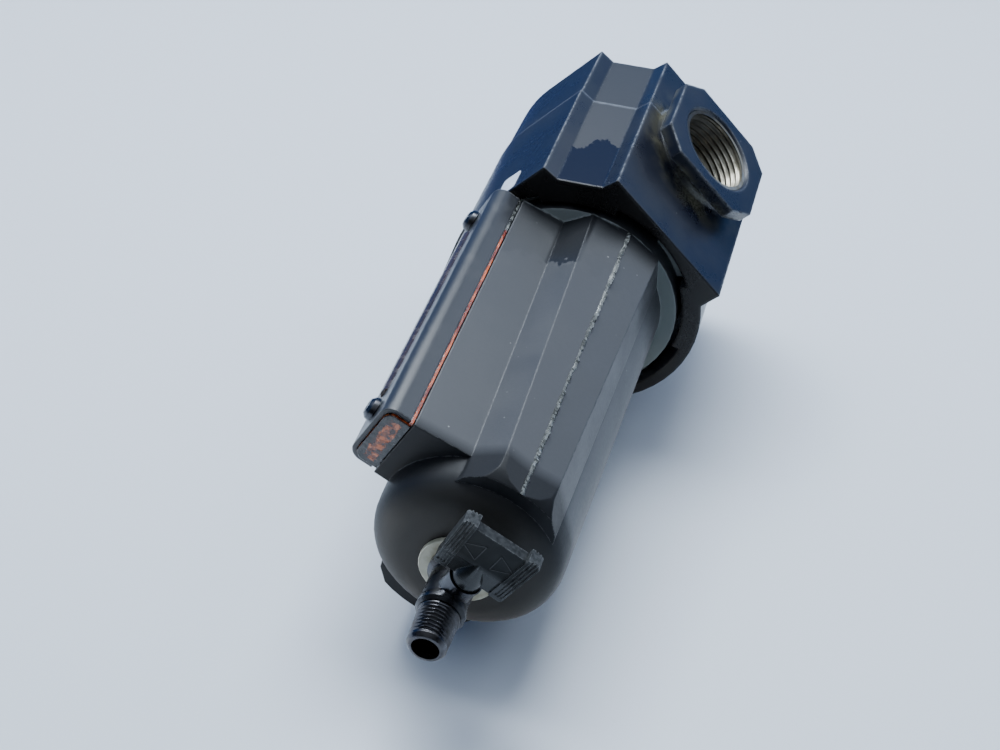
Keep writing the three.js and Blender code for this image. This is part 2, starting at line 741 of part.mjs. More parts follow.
group.position.z = -HEAD.top;

export default group;
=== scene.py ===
"""Looks for the compressed air filter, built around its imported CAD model.

Everything is in metres in the CAD frame: +Z up out of the head, the ports along X, the front
at -Y. The filter is shown as it lies on a bench, so the floor is a plane beside it.
"""

import json
import math
import random

import bmesh
import bpy
from mathutils import Matrix, Vector
from mathutils.bvhtree import BVHTree

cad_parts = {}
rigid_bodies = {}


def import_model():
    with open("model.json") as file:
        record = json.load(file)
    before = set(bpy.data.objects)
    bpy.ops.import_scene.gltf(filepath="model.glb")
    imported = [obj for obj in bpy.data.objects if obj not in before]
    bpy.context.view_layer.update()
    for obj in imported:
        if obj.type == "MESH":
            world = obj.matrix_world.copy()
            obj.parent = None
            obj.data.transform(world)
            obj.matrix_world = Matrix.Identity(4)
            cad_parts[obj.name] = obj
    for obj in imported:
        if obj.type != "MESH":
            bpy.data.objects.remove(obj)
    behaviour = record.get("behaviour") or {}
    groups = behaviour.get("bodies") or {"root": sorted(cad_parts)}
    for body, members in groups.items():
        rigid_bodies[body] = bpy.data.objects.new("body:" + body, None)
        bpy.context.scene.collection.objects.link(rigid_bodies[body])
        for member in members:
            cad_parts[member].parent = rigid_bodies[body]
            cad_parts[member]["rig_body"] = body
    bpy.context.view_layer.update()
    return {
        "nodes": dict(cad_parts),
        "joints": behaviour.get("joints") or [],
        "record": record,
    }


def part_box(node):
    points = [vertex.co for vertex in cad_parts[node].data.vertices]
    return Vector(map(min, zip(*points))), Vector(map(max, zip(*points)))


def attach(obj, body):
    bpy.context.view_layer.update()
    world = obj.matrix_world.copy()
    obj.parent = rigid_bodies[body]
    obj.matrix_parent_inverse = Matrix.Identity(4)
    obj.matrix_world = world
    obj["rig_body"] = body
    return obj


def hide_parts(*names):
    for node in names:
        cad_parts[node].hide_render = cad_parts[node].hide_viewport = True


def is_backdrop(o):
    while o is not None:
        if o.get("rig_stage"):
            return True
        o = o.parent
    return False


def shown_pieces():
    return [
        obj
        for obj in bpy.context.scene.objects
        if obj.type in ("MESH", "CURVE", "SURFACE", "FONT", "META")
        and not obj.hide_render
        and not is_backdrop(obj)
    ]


MM = 0.001

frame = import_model()


# ---------------------------------------------------------------- places taken from the frame


def places(node):
    """The places of a CAD node's corners."""
    return [vertex.co for vertex in frame["nodes"][node].data.vertices]


def extent(node, axis, below=math.inf):
    """How far a CAD node reaches along an axis, counting only its corners below a height."""
    reach = [place.dot(axis) for place in places(node) if place.z < below]
    return min(reach), max(reach)


PORTWARD = Vector((1, 0, 0))
BACK = Vector((0, 1, 0))
UP = Vector((0, 0, 1))

JOINTS = {joint["name"]: joint for joint in frame["joints"]}
BOWL_X = Vector(JOINTS["cock_turn"]["axis"])  # the bowl's own right, from its axis to a side pad
BOWL_Y = UP.cross(BOWL_X)  # and its back, away from the gauge
STEM_Z = JOINTS["cock_turn"]["pos_m"][2]
TO_BOWL = Matrix((BOWL_X, BOWL_Y, UP))  # turns a place in the frame into the bowl's own directions
FROM_BOWL = TO_BOWL.transposed()

HEAD_LOW, HEAD_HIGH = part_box("head_casting")
PORT_FACE = HEAD_HIGH.x
PORT_OPENING = frame["record"]["physics"]["openings"][0]["box_m"]
PORT_Z = (PORT_OPENING[0][2] + PORT_OPENING[1][2]) / 2
BEND_Z = HEAD_HIGH.z - 32.2 * MM  # the ledge where the head's walls start to lean

SHELL_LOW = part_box("bowl_shell")[0]
NIPPLE_LOW, NIPPLE_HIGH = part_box("drain_nipple")
DRAIN_BODY_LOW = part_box("drain_body")[0].z
HANDLE_END = extent("drain_handle", BOWL_X)[1]

LENS_LOW, LENS_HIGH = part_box("gauge_lens")
LENS_X = extent("gauge_lens", BOWL_X, LENS_LOW.z + 1 * MM)
LENS_Y = extent("gauge_lens", BOWL_Y, LENS_LOW.z + 1 * MM)
RIB_ROOT = extent("gauge_cover", BOWL_Y)[0] + 1 * MM

CHANNEL_OUT = Vector((1, -1, 0)).normalized()  # from the bowl's axis to the head's corner channel
CHANNEL_ACROSS = Vector((1, 1, 0)).normalized()


def channel_size():
    """How far the corner channel's floor is from the bowl's axis, and half its width."""
    bottom = [place for place in places("head_casting") if place.z < HEAD_LOW.z + 0.1 * MM]
    outward = [place for place in bottom if place.dot(CHANNEL_OUT) > 0]
    middle = [place for place in outward if abs(place.dot(CHANNEL_ACROSS)) < 9 * MM]
    depth = max(place.dot(CHANNEL_OUT) for place in middle)
    floor = [place for place in middle if place.dot(CHANNEL_OUT) > depth - 0.5 * MM]
    return depth, max(abs(place.dot(CHANNEL_ACROSS)) for place in floor)


def parting_line():
    """The top and bottom of the ridge down the bowl's side, where the mould's halves met: (x, z)."""
    ridge = [
        (place.dot(BOWL_X), place.z) for place in places("bowl_shell")
        if abs(place.dot(BOWL_Y)) < 0.05 * MM and place.dot(BOWL_X) > 30 * MM
    ]
    widest = max(x for x, z in ridge)
    top = min((z, x) for x, z in ridge if x > widest - 0.1 * MM)
    bottom = min((z, x) for x, z in ridge)
    return top[::-1], bottom[::-1]


CHANNEL_DEPTH, CHANNEL_HALF = channel_size()
PARTING_TOP, PARTING_BOTTOM = parting_line()
COLLAR_LOW = PARTING_TOP[1]

# ---------------------------------------------------------------- node trees


class Nodes:
    """The node tree of a material or a world, and short calls that add nodes to it."""

    def __init__(self, owner):
        owner.use_nodes = True
        self.tree = owner.node_tree

    def connect(self, entry, value):
        """Gives an input a number, a colour or another node's output."""
        if isinstance(value, bpy.types.NodeSocket):
            self.tree.links.new(value, entry)
        else:
            entry.default_value = value

    def node(self, kind, inputs=None, **settings):
        made = self.tree.nodes.new(kind)
        for name, value in settings.items():
            setattr(made, name, value)
        for name, value in (inputs or {}).items():
            self.connect(made.inputs[name], value)
        return made

    def math(self, operation, first, second=0.0):
        return self.node("ShaderNodeMath", {0: first, 1: second}, operation=operation).outputs[0]

    def product(self, *factors):
        total = factors[0]
        for factor in factors[1:]:
            total = self.math("MULTIPLY", total, factor)
        return total

    def step(self, value, low, high, bottom=0.0, top=1.0):
        """Maps low..high of a value to bottom..top."""
        inputs = {"Value": value, "From Min": low, "From Max": high, "To Min": bottom, "To Max": top}
        return self.node("ShaderNodeMapRange", inputs).outputs[0]

    def vector(self, operation, first, second=(0, 0, 0)):
        """The outputs of a vector calculation: 0 is a direction and "Value" a number."""
        return self.node("ShaderNodeVectorMath", {0: first, 1: second}, operation=operation).outputs

    def mix(self, share, first, second):
        """The first colour where share is 0, the second where it is 1."""
        made = self.node("ShaderNodeMix", {"Factor": share}, data_type="RGBA")
        for name, color in (("A", first), ("B", second)):
            self.connect(made.inputs[name], (*color, 1) if isinstance(color, tuple) else color)
        return made.outputs["Result"]

    def mix_number(self, share, first, second):
        """Like mix, for plain numbers."""
        inputs = {"Factor": share, "A": first, "B": second}
        return self.node("ShaderNodeMix", inputs, data_type="FLOAT").outputs["Result"]

    def show(self, output, share, first, second):
        """Puts a blend of two shaders on the tree's output: the first one where share is 0."""
        shaders = {0: share, 1: first.outputs[0], 2: second.outputs[0]}
        blend = self.node("ShaderNodeMixShader", shaders)
        self.connect(self.tree.nodes[output].inputs["Surface"], blend.outputs[0])


class Surface(Nodes):
    """One surface material: a principled shader whose inputs follow the place on the object."""

    def __init__(self, name, color, roughness, metallic=0.0):
        self.material = bpy.data.materials.new(name)
        super().__init__(self.material)
        self.shader = self.tree.nodes["Principled BSDF"]
        self.set("Base Color", (*color, 1))
        self.set("Roughness", roughness)
        self.set("Metallic", metallic)
        self.place = self.node("ShaderNodeTexCoord").outputs["Object"]

    def set(self, name, value):
        """Sets one of the shader's inputs to a number, a colour or another node's output."""
        self.connect(self.shader.inputs[name], value)

    def noise(self, size, detail=4.0, stretch=(1, 1, 1), offset=0.0):
        """Cloudy noise from 0 to 1 whose blobs are about size metres across."""
        spread = [share / size for share in stretch]
        moved = self.node("ShaderNodeMapping", {"Vector": self.place, "Scale": spread})
        self.connect(moved.inputs["Location"], (offset, offset, offset))
        clouds = {"Vector": moved.outputs[0], "Scale": 1.0, "Detail": detail}
        return self.node("ShaderNodeTexNoise", clouds).outputs["Fac"]

    def specks(self, size, share):
        """Small scattered specks: 1 inside a speck."""
        cells = self.node("ShaderNodeTexVoronoi", {"Vector": self.place, "Scale": 1 / size})
        return self.step(cells.outputs["Distance"], share, share * 0.6)

    def rounded_normal(self, radius):
        return self.node("ShaderNodeBevel", {"Radius": radius}, samples=6).outputs[0]

    def edges(self, radius, low=0.02, high=0.2):
        """1 along sharp edges and 0 on flat ground."""
        true_normal = self.node("ShaderNodeNewGeometry").outputs["True Normal"]
        likeness = self.vector("DOT_PRODUCT", self.rounded_normal(radius), true_normal)["Value"]
        return self.step(self.math("SUBTRACT", 1.0, likeness), low, high)

    def bump(self, height, depth, strength=1.0, rounding=0.0):
        """Raises the surface by a height map; rounding softens its edges by a radius in metres."""
        inputs = {"Height": height, "Distance": depth, "Strength": strength}
        if rounding:
            inputs["Normal"] = self.rounded_normal(rounding)
        self.set("Normal", self.node("ShaderNodeBump", inputs).outputs[0])

    def along(self, axis):
        """The position along a direction of the frame, in metres."""
        return self.vector("DOT_PRODUCT", self.place, axis)["Value"]

    def off_middle(self, axis):
        """The distance from the origin along a direction, to either side."""
        return self.math("ABSOLUTE", self.along(axis))

    def off_port_axis(self):
        """The distance from the axis through both ports."""
        from_axis = self.vector("SUBTRACT", self.place, (0, 0, PORT_Z))[0]
        across = self.vector("MULTIPLY", from_axis, (0, 1, 1))[0]
        return self.vector("LENGTH", across)["Value"]

    def facing_up(self):
        """The upward part of the surface's own direction: 1 for a face that points up."""
        normal = self.node("ShaderNodeNewGeometry").outputs["True Normal"]
        spaces = {"vector_type": "NORMAL", "convert_from": "WORLD", "convert_to": "OBJECT"}
        turned = self.node("ShaderNodeVectorTransform", {0: normal}, **spaces)
        return self.node("ShaderNodeSeparateXYZ", {0: turned.outputs[0]}).outputs[2]


class WornAndHighlitPaint(Surface):
    """Paint over cast metal: slow colour drift, specks, fine grain, rubbed edges and a soft painted
    highlight band along the edges.
    """

    def __init__(self, name, color, dusty, roughness, edge_color, wear_and_highlight, edge_width):
        super().__init__(name, color, roughness)
        self.edge_color = edge_color
        clouds = self.step(self.noise(22 * MM, 6), 0.42, 0.75)
        fine = self.noise(1.2 * MM, 3)
        patches = self.step(self.noise(9 * MM, 2), 0.55, 0.62)
        self.tone = self.mix(clouds, color, dusty)
        uneven = self.math("ADD", fine, clouds)
        self.rough = self.step(uneven, 0.3, 1.5, roughness - 0.05, roughness + 0.1)
        self.cover(self.product(self.specks(4.5 * MM, 0.08), patches, 0.5), (0.4, 0.4, 0.38))
        # painted highlight: a soft pale band along the edges
        painted_edge_highlight = self.product(self.edges(edge_width * 1.6, 0.015, 0.12), wear_and_highlight * 0.5)
        self.cover(painted_edge_highlight, tuple(channel * 0.25 for channel in edge_color))
        ragged = self.step(self.noise(2.2 * MM, 6), 0.38, 0.6)
        self.rubbed = self.product(self.edges(edge_width, 0.06, 0.22), ragged, wear_and_highlight)
        self.bump(self.math("ADD", fine, self.noise(0.45 * MM, 2)), 0.035 * MM, 0.5, edge_width)

    def cover(self, share, color=None, rough=None):
        """Lays another colour or roughness over the paint where share is 1."""
        if color is not None:
            self.tone = self.mix(share, self.tone, color)
        if rough is not None:
            self.rough = self.mix_number(share, self.rough, rough)

    def finish(self, kept=1.0):
        """Lays the rubbed edges over everything; kept says where rubbing can reach."""
        rubbed = self.product(self.rubbed, kept)
        self.set("Base Color", self.mix(rubbed, self.tone, self.edge_color))
        self.set("Metallic", self.product(rubbed, 0.5))
        self.set("Roughness", self.rough)
        return self.material


# ---------------------------------------------------------------- materials


def dust_port_necks(paint):
    """Olive dust on the head's walls round the port necks, behind the flanges' plates."""
    out = paint.off_middle(PORTWARD)
    behind_plate = paint.step(out, PORT_FACE - 1.5 * MM, PORT_FACE - 4 * MM)
    on_wall = paint.step(out, PORT_FACE - 13 * MM, PORT_FACE - 10 * MM)
    near_neck = paint.step(paint.off_port_axis(), 31 * MM, 23 * MM)
    grime = paint.step(paint.noise(9 * MM, 5, offset=3.0), 0.4, 0.66)
    paint.cover(paint.product(on_wall, behind_plate, near_neck, grime, 0.75), (0.11, 0.105, 0.07))


def oil_channel(paint):
    """Dulls the corner channel and wets its lower end with oil. The result is 1 in the channel."""
    on_floor = paint.step(paint.along(CHANNEL_OUT), CHANNEL_DEPTH - 2 * MM, CHANNEL_DEPTH - 1.5 * MM)
    inside = paint.step(paint.off_middle(CHANNEL_ACROSS), CHANNEL_HALF + 0.6 * MM, CHANNEL_HALF)
    channel = paint.product(on_floor, inside)
    oil_top = HEAD_LOW.z + 27 * MM
    ragged = paint.step(paint.noise(7 * MM, 5), 0.3, 0.7, -7 * MM, 7 * MM)
    height = paint.math("ADD", paint.along(UP), ragged)
    front_shade = paint.product(channel, paint.step(height, oil_top + 0.5 * MM, oil_top - 0.5 * MM))
    paint.cover(channel, (0.012, 0.014, 0.019), 0.42)
    paint.cover(front_shade, (0.004, 0.006, 0.016), 0.16)
    return channel


def paint_bend_highlight(paint, channel):
    """Paints a ragged pale painted highlight along the ledge where the walls start to lean, strongest
    in the channel.
    """
    off_bend = paint.math("ABSOLUTE", paint.math("SUBTRACT", paint.along(UP), BEND_Z))
    close = paint.step(off_bend, 1.5 * MM, 0.7 * MM)
    ragged = paint.step(paint.noise(3 * MM, 5, offset=1.0), 0.3, 0.6)
    on_body = paint.step(paint.off_middle(PORTWARD), PORT_FACE - 9.5 * MM, PORT_FACE - 10.5 * MM)
    strength = paint.step(channel, 0, 1, 0.25, 0.6)
    # painted highlight along the ledge
    paint.cover(paint.product(close, ragged, on_body, strength), (0.17, 0.185, 0.21))


def head_paint():
    """Semi-gloss navy black with a dull top; its underside is painted plain near-black as painted
    shade, without rubbed edges.
    """
    paint = WornAndHighlitPaint(
        "head_paint", color=(0.0075, 0.0095, 0.018), dusty=(0.013, 0.015, 0.022), roughness=0.3,
        edge_color=(0.3, 0.32, 0.35), wear_and_highlight=0.9, edge_width=1.5 * MM,
    )
    dust_port_necks(paint)
    paint_bend_highlight(paint, oil_channel(paint))
    top = paint.step(paint.facing_up(), 0.9, 0.97)
    paint.cover(top, rough=0.6)
    paint.set("Specular IOR Level", paint.step(top, 0, 1, 0.4, 0.2))
    # painted shade: the underside is made plain near-black and kept from rubbing
    above_bottom = paint.step(paint.along(UP), HEAD_LOW.z + 0.15 * MM, HEAD_LOW.z + 0.9 * MM)
    paint.tone = paint.mix(above_bottom, (0.006, 0.005, 0.0045), paint.tone)
    return paint.finish(above_bottom)


def darken_bowl_top(paint):
    """Darkens the bowl's top below the collar and makes it glossier, most of all in a strip on each
    side of the gauge.
    """
    across = paint.along(BOWL_Y)
    ragged = paint.step(paint.noise(9 * MM, 4, offset=7.0), 0.3, 0.7, -9 * MM, 9 * MM)
    height = paint.math("ADD", paint.along(UP), ragged)
    upper = paint.step(height, COLLAR_LOW - 27 * MM, COLLAR_LOW - 26 * MM)
    beside_gauge = paint.product(
        paint.step(across, -21 * MM, -20 * MM),
        paint.step(across, -11.5 * MM, -12.5 * MM),
    )
    dark_top = paint.product(upper, paint.step(beside_gauge, 0, 1, 0.2, 1), 0.8)
    paint.cover(dark_top, (0.005, 0.006, 0.008), 0.24)


def pale_and_lit_collar(paint):
    """Leaves the collar's underside pale; painted light makes it much paler in front, where a pale
    seam round it shows too.
    """
    height = paint.along(UP)
    in_front = paint.step(paint.along(BOWL_Y), -2 * MM, -10 * MM)
    underside = paint.product(
        paint.step(paint.facing_up(), -0.9, -0.97),
        paint.step(height, COLLAR_LOW - 1.5 * MM, COLLAR_LOW - 0.5 * MM),
        0.85,
    )
    # painted light: the underside's front is painted much paler than its back
    paint.cover(underside, paint.mix(in_front, (0.14, 0.17, 0.165), (0.5, 0.56, 0.55)))
    seam = paint.product(
        paint.step(height, COLLAR_LOW - 0.9 * MM, COLLAR_LOW - 0.5 * MM),
        paint.step(height, COLLAR_LOW - 0.02 * MM, COLLAR_LOW - 0.1 * MM),
        paint.step(paint.noise(2 * MM, 5), 0.35, 0.6),
        in_front,
    )
    paint.cover(seam, (0.3, 0.33, 0.33))


def bowl_paint():
    """Satin black whose dome is duller and a little brown at its lowest."""
    paint = WornAndHighlitPaint(
        "bowl_paint", color=(0.031, 0.033, 0.037), dusty=(0.04, 0.042, 0.046), roughness=0.46,
        edge_color=(0.28, 0.29, 0.29), wear_and_highlight=0.5, edge_width=0.7 * MM,
    )
    darken_bowl_top(paint)
    pale_and_lit_collar(paint)
    height = paint.along(UP)
    dome = paint.step(height, SHELL_LOW.z + 20 * MM, SHELL_LOW.z + 15 * MM)
    paint.cover(dome, (0.014, 0.015, 0.017))
    paint.set("Specular IOR Level", paint.step(dome, 0, 1, 0.5, 0.15))
    lowest = paint.step(height, SHELL_LOW.z + 6 * MM, SHELL_LOW.z + 1 * MM)
    paint.cover(paint.product(lowest, 0.25), (0.09, 0.08, 0.062))
    return paint.finish()


def cover_paint():
    """Satin coated sheet with dust on it, whose cut edges shine."""
    color = (0.02, 0.022, 0.026)
    paint = Surface("cover_paint", color, 0.34)
    edge = paint.product(paint.edges(0.5 * MM), paint.step(paint.noise(3 * MM, 4), 0.3, 0.6), 0.8)
    dust = paint.step(paint.noise(7 * MM, 6), 0.5, 0.8)
    tone = paint.mix(paint.product(dust, 0.4), color, (0.05, 0.052, 0.055))
    paint.set("Base Color", paint.mix(edge, tone, (0.5, 0.5, 0.5)))
    paint.set("Roughness", paint.step(dust, 0.0, 1.0, 0.33, 0.45))
    paint.bump(paint.noise(2 * MM, 2), 0.02 * MM, 0.4, 0.8 * MM)
    return paint.material


def metal(name, color, roughness, grime, grain=0.5, shaded_front=0.0):
    """Machined metal with turning marks, grain mm apart, and dull patches; shaded_front darkens its
    front side as painted shade."""
    steel = Surface(name, color, roughness, 1.0)
    clouds = steel.step(steel.noise(5 * MM, 6), 0.38, 0.68)
    tone = steel.mix(steel.product(clouds, 0.7), color, grime)
    if shaded_front:
        ragged = steel.step(clouds, 0, 1, -2 * MM, 2 * MM)
        backward = steel.math("ADD", steel.along(BACK), ragged)
        # painted shade: darkens the front side of the metal
        front_shade = steel.product(steel.step(backward, 9 * MM, -9 * MM), shaded_front)
        tone = steel.mix(front_shade, tone, (0.025, 0.022, 0.018))
    steel.set("Base Color", tone)
    steel.set("Roughness", steel.step(clouds, 0.0, 1.0, roughness, roughness + 0.25))
    steel.bump(steel.noise(grain * MM, 3, stretch=(1, 1, 4)), 0.03 * MM, 0.5)
    return steel.material


def plastic(name, color, spot, roughness):
    """Moulded plastic: fine spark-eroded grain, faint blotches and paler rubbed edges."""
    made = Surface(name, color, roughness)
    clouds = made.step(made.noise(6 * MM, 5), 0.4, 0.7)
    edge = made.product(made.edges(0.4 * MM), 0.45)
    pale = tuple(min(1.0, channel * 2.6 + 0.03) for channel in color)
    made.set("Base Color", made.mix(edge, made.mix(clouds, color, spot), pale))
    made.set("Roughness", made.step(clouds, 0.0, 1.0, roughness, roughness + 0.12))
    made.bump(made.noise(0.5 * MM, 3), 0.04 * MM, 0.6)
    return made.material


def handle_plastic():
    """Charcoal plastic with a pale rubbed end, and glossier where it goes round the stem."""
    made = Surface("handle_plastic", (0.012, 0.014, 0.015), 0.5)
    along = made.along(BOWL_X)
    clouds = made.step(made.noise(6 * MM, 5), 0.4, 0.7)
    tone = made.mix(clouds, (0.006, 0.0075, 0.008), (0.012, 0.014, 0.014))
    worn = made.step(made.noise(1.2 * MM, 5), 0.35, 0.6)
    end = made.product(made.step(along, HANDLE_END - 2.2 * MM, HANDLE_END - 1.2 * MM), worn, 0.4)
    edge = made.product(made.edges(0.5 * MM), worn, 0.6)
    tone = made.mix(end, tone, (0.1, 0.105, 0.11))
    made.set("Base Color", made.mix(edge, tone, (0.24, 0.25, 0.25)))
    blade = made.step(along, HANDLE_END - 15 * MM, HANDLE_END - 13 * MM)
    made.set("Roughness", made.step(blade, 0, 1, 0.25, 0.52))
    made.set("Specular IOR Level", made.step(blade, 0, 1, 0.5, 0.17))
    made.bump(made.noise(0.5 * MM, 3), 0.05 * MM, 0.6)
    return made.material


def lens_rim(lens):
    """1 in a ragged band round the lens's lower end, along its outline."""
    distances = []
    for axis, (low, high) in ((BOWL_X, LENS_X), (BOWL_Y, LENS_Y)):
        along = lens.along(axis)
        distances.append(lens.math("SUBTRACT", along, low))
        distances.append(lens.math("SUBTRACT", high, along))
    nearest = distances[0]
    for distance in distances[1:]:
        nearest = lens.math("MINIMUM", nearest, distance)
    ragged = lens.step(lens.noise(2 * MM, 3), 0, 1, -1.2 * MM, 1.2 * MM)
    close = lens.step(lens.math("ADD", nearest, ragged), 2.2 * MM, 1.7 * MM)
    at_end = lens.step(lens.along(UP), LENS_LOW.z + 0.6 * MM, LENS_LOW.z + 0.2 * MM)
    return lens.product(at_end, close)


def lens_color(lens, blotch):
    """Amber where oil stands behind the lens and grey above it, with red streaks down its edge."""
    height = lens.along(UP)
    level = LENS_HIGH.z - (LENS_HIGH.z - LENS_LOW.z) * 0.16
    oil = lens.step(height, level + 1 * MM, level)
    clear = lens.mix(blotch, (0.02, 0.022, 0.022), (0.2, 0.21, 0.2))
    amber = lens.mix(blotch, (0.05, 0.01, 0.004), (0.62, 0.15, 0.035))
    edge = lens.product(
        lens.step(lens.along(BOWL_X), LENS_X[1] - 0.6 * MM, LENS_X[1] - 0.2 * MM),
        lens.step(height, LENS_LOW.z + 0.1 * MM, LENS_LOW.z + 0.4 * MM),
    )
    streaks = lens.step(lens.noise(1.5 * MM, 4, stretch=(1, 1, 0.2)), 0.4, 0.62)
    amber = lens.mix(edge, amber, lens.mix(streaks, (0.2, 0.02, 0.006), (0.8, 0.17, 0.05)))
    return lens.mix(oil, clear, amber)


def lens_plastic():
    """Clear plastic stained by compressor oil, dark along its rim; its sight rib is dark too."""
    lens = Surface("lens_plastic", (0.45, 0.12, 0.03), 0.12)
    blotch = lens.step(lens.noise(2.6 * MM, 7), 0.42, 0.6)
    on_rib = lens.step(lens.along(BOWL_Y), RIB_ROOT + 0.3 * MM, RIB_ROOT - 0.3 * MM)
    drips = lens.step(lens.noise(3 * MM, 3, stretch=(1, 1, 0.12)), 0.4, 0.62)
    rib = lens.mix(drips, (0.03, 0.018, 0.014), (0.06, 0.035, 0.028))
    tone = lens.mix(on_rib, lens_color(lens, blotch), rib)
    lens.set("Base Color", lens.mix(lens_rim(lens), tone, (0.01, 0.008, 0.007)))
    lens.set("Transmission Weight", 0.15)
    lens.set("IOR", 1.49)
    lens.set("Coat Weight", 0.5)
    lens.set("Coat Roughness", 0.05)
    lens.set("Roughness", lens.step(blotch, 0.0, 1.0, 0.1, 0.35))
    waves = lens.math("ADD", lens.noise(1.5 * MM, 4), lens.noise(5 * MM, 2))
    lens.bump(lens.product(waves, lens.step(on_rib, 0, 1, 1, 0)), 0.5 * MM, 0.8)
    return lens.material


def rubber():
    """Dull black rubber with a fine grain."""
    made = Surface("rubber", (0.014, 0.014, 0.015), 0.62)
    made.set("Roughness", made.step(made.noise(2 * MM, 4), 0.3, 0.7, 0.5, 0.75))
    made.bump(made.noise(0.6 * MM, 3), 0.03 * MM, 0.5)
    return made.material


def filter_medium():
    """Felted fibre, stained where the air comes in."""
    clean, stained = (0.72, 0.69, 0.6), (0.42, 0.36, 0.25)
    made = Surface("filter_medium", clean, 0.95)
    stain = made.step(made.noise(14 * MM, 6), 0.42, 0.7)
    made.set("Base Color", made.mix(stain, clean, stained))
    made.set("Sheen Weight", 0.4)
    made.bump(made.noise(0.7 * MM, 8), 0.2 * MM, 0.8)
    return made.material


METALS = {
    "machined_metal": {"color": (0.62, 0.58, 0.5), "roughness": 0.3, "grime": (0.3, 0.26, 0.2)},
    "dark_steel": {"color": (0.085, 0.087, 0.095), "roughness": 0.16, "grime": (0.02, 0.019, 0.018)},
    "nipple_steel": {"color": (0.1, 0.1, 0.11), "roughness": 0.2, "grime": (0.05, 0.045, 0.04)},
    "thread_metal": {
        "color": (0.46, 0.43, 0.35), "roughness": 0.36, "grime": (0.12, 0.11, 0.085), "grain": 1.5,
        "shaded_front": 0.85,
    },
    "casting_flash": {
        "color": (0.24, 0.25, 0.24), "roughness": 0.5, "grime": (0.05, 0.05, 0.05), "grain": 0.4,
    },
}
PLASTICS = {
    "nylon": {"color": (0.42, 0.41, 0.32), "spot": (0.2, 0.19, 0.12), "roughness": 0.42},
    "inner_plastic": {"color": (0.22, 0.225, 0.23), "spot": (0.12, 0.11, 0.09), "roughness": 0.5},
    "pale_blue_sheet": {"color": (0.72, 0.8, 0.9), "spot": (0.55, 0.6, 0.68), "roughness": 0.35},
    "mark_plastic": {"color": (0.012, 0.013, 0.013), "spot": (0.02, 0.02, 0.02), "roughness": 0.5},
}
MATERIALS = {
    "head_paint": head_paint(),
    "bowl_paint": bowl_paint(),
    "cover_paint": cover_paint(),
    "lens_plastic": lens_plastic(),
    "handle_plastic": handle_plastic(),
    "rubber": rubber(),
    "filter_medium": filter_medium(),
}
for material_name, looks in METALS.items():
    MATERIALS[material_name] = metal(material_name, **looks)
for material_name, looks in PLASTICS.items():
    MATERIALS[material_name] = plastic(material_name, **looks)

# ---------------------------------------------------------------- mesh tools


def new_piece(name, mesh, body, slot_name, look=None, smooth_angle=35):
    """Turns a mesh into a shown piece in its material, riding on its body. Edges folded less than
    the smooth angle are shaded smooth; without one the mesh keeps its own shading."""
    if smooth_angle:
        mesh.polygons.foreach_set("use_smooth", [True] * len(mesh.polygons))
        mesh.set_sharp_from_angle(angle=math.radians(smooth_angle))
    piece = bpy.data.objects.new(name, mesh)
    bpy.context.scene.collection.objects.link(piece)
    mesh.materials.clear()
    mesh.materials.append(MATERIALS[look or slot_name])
    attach(piece, body)
    return piece


def applied(mesh, *modifiers):
    """The mesh after a list of modifiers, each given as (kind, settings)."""
    holder = bpy.data.objects.new("holder", mesh)
    bpy.context.scene.collection.objects.link(holder)
    for kind, settings in modifiers:
        modifier = holder.modifiers.new(kind, kind)
        for name, value in settings.items():
            setattr(modifier, name, value)
    graph = bpy.context.evaluated_depsgraph_get()
    result = bpy.data.meshes.new_from_object(holder.evaluated_get(graph))
    bpy.data.objects.remove(holder)
    return result


def edited(mesh, *operations):
    """The mesh after a list of operations, each called with an editable form of it."""
    draft = bmesh.new()
    draft.from_mesh(mesh)
    for operation in operations:
        operation(draft)
    draft.to_mesh(mesh)
    draft.free()
    return mesh


def join_corners(draft):
    bmesh.ops.remove_doubles(draft, verts=draft.verts, dist=0.005 * MM)


def merge_flat_faces(draft):
    fold = math.radians(0.5)
    bmesh.ops.dissolve_limit(draft, angle_limit=fold, verts=draft.verts, edges=draft.edges)


def face_outward(draft):
    bmesh.ops.recalc_face_normals(draft, faces=draft.faces)


def mesh_from(vertices, faces):
    mesh = bpy.data.meshes.new("piece")
    mesh.from_pydata(vertices, [], faces)
    mesh.update()
    return mesh


def welded(source):
    """A copy of a CAD mesh with its corners joined and its flat faces made whole."""
    vertices = [vertex.co.copy() for vertex in source.vertices]
    faces = [list(face.vertices) for face in source.polygons]
    return edited(mesh_from(vertices, faces), join_corners, merge_flat_faces)


def swept(*strands, loop=False):
    """A closed mesh of one or more strands. A strand is a list of rings of points: its last ring
    joins its first, or both its ends are capped."""
    vertices, faces = [], []
    for rings in strands:
        first, count = len(vertices), len(rings[0])
        vertices += [point for ring in rings for point in ring]
        for i in range(len(rings) if loop else len(rings) - 1):
            near = first + i * count
            far = first + (i + 1) % len(rings) * count
            for j in range(count):
                after = (j + 1) % count
                faces.append((near + j, near + after, far + after, far + j))
        if not loop:
            faces.append(tuple(range(first, first + count))[::-1])
            faces.append(tuple(range(len(vertices) - count, len(vertices))))
    return edited(mesh_from(vertices, faces), face_outward)


def circle(radius, height, swell=0.0, phase=0.0, around=72):
    """A ring of points about Z; swell widens it on one side, and phase, in turns, says which."""
    ring = []
    for j in range(around):
        angle = 2 * math.pi * j / around
        reach = radius + swell * (0.5 - 0.5 * math.cos(angle + 2 * math.pi * phase))
        ring.append(Vector((reach * math.cos(angle), reach * math.sin(angle), height)))
    return ring


